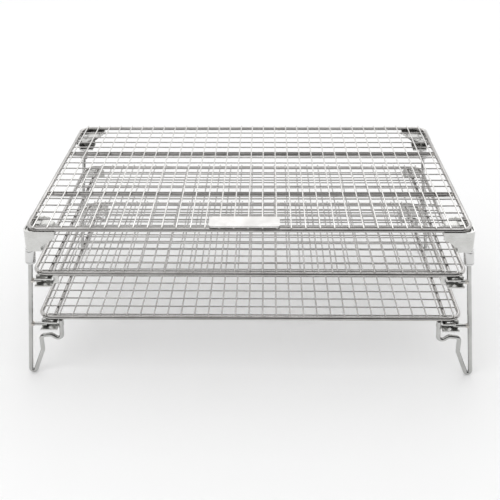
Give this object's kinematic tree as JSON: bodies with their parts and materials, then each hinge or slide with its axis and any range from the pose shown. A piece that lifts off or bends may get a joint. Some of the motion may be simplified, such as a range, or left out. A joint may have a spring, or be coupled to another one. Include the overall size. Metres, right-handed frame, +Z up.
{
  "type": "cooling rack",
  "caption": "Tiered wire cooling rack: welded mesh shelves on rod frames, sheet corner brackets with sleeves, and bent wire legs that turn outwards.",
  "frame": {"origin": "on the floor under the middle of the rack", "axes": "+Z up, front towards -Y, width along X"},
  "size_m": [0.4336, 0.2558, 0.166],
  "materials": {
    "frame_rod": "polished stainless rod",
    "mesh_wire": "polished stainless wire",
    "bar": "polished stainless rod",
    "leg_wire": "polished stainless wire",
    "sleeve": "polished tube",
    "bracket_sheet": "satin pressed sheet",
    "hanger_sheet": "satin bent sheet",
    "plate": "satin sheet"
  },
  "bodies": {
    "rack": {"top_frame": "frame_rod", "top_long_wires": "mesh_wire", "top_cross_wires": "mesh_wire", "mid_frame": "frame_rod", "mid_long_wires": "mesh_wire", "mid_cross_wires": "mesh_wire", "low_frame": "frame_rod", "low_long_wires": "mesh_wire", "low_cross_wires": "mesh_wire", "top_crossbars": "bar", "mid_side_bars": "bar", "low_side_bars": "bar", "name_plate": "plate", "bracket_fl": "bracket_sheet", "sleeve_fl": "sleeve", "mid_hanger_fl": "hanger_sheet", "low_hanger_fl": "hanger_sheet", "bracket_fr": "bracket_sheet", "sleeve_fr": "sleeve", "mid_hanger_fr": "hanger_sheet", "low_hanger_fr": "hanger_sheet", "bracket_bl": "bracket_sheet", "sleeve_bl": "sleeve", "mid_hanger_bl": "hanger_sheet", "low_hanger_bl": "hanger_sheet", "bracket_br": "bracket_sheet", "sleeve_br": "sleeve", "mid_hanger_br": "hanger_sheet", "low_hanger_br": "hanger_sheet"},
    "leg_front_left": {"leg_fl": "leg_wire", "mid_arm_fl": "leg_wire", "low_arm_fl": "leg_wire"},
    "leg_front_right": {"leg_fr": "leg_wire", "mid_arm_fr": "leg_wire", "low_arm_fr": "leg_wire"},
    "leg_back_left": {"leg_bl": "leg_wire", "mid_arm_bl": "leg_wire", "low_arm_bl": "leg_wire"},
    "leg_back_right": {"leg_br": "leg_wire", "mid_arm_br": "leg_wire", "low_arm_br": "leg_wire"}
  },
  "joints": [
    {"name": "leg_front_left_turn", "type": "hinge", "parent": "rack", "child": "leg_front_left", "pos_m": [-0.1997, -0.1205, 0.14], "axis": [-0.1103, 0, -0.9939], "range_deg": [0, 180]},
    {"name": "leg_front_right_turn", "type": "hinge", "parent": "rack", "child": "leg_front_right", "pos_m": [0.1997, -0.1205, 0.14], "axis": [-0.1103, 0, 0.9939], "range_deg": [0, 180]},
    {"name": "leg_back_left_turn", "type": "hinge", "parent": "rack", "child": "leg_back_left", "pos_m": [-0.1997, 0.1205, 0.14], "axis": [0.1103, 0, 0.9939], "range_deg": [0, 180]},
    {"name": "leg_back_right_turn", "type": "hinge", "parent": "rack", "child": "leg_back_right", "pos_m": [0.1997, 0.1205, 0.14], "axis": [0.1103, 0, -0.9939], "range_deg": [0, 180]}
  ]
}
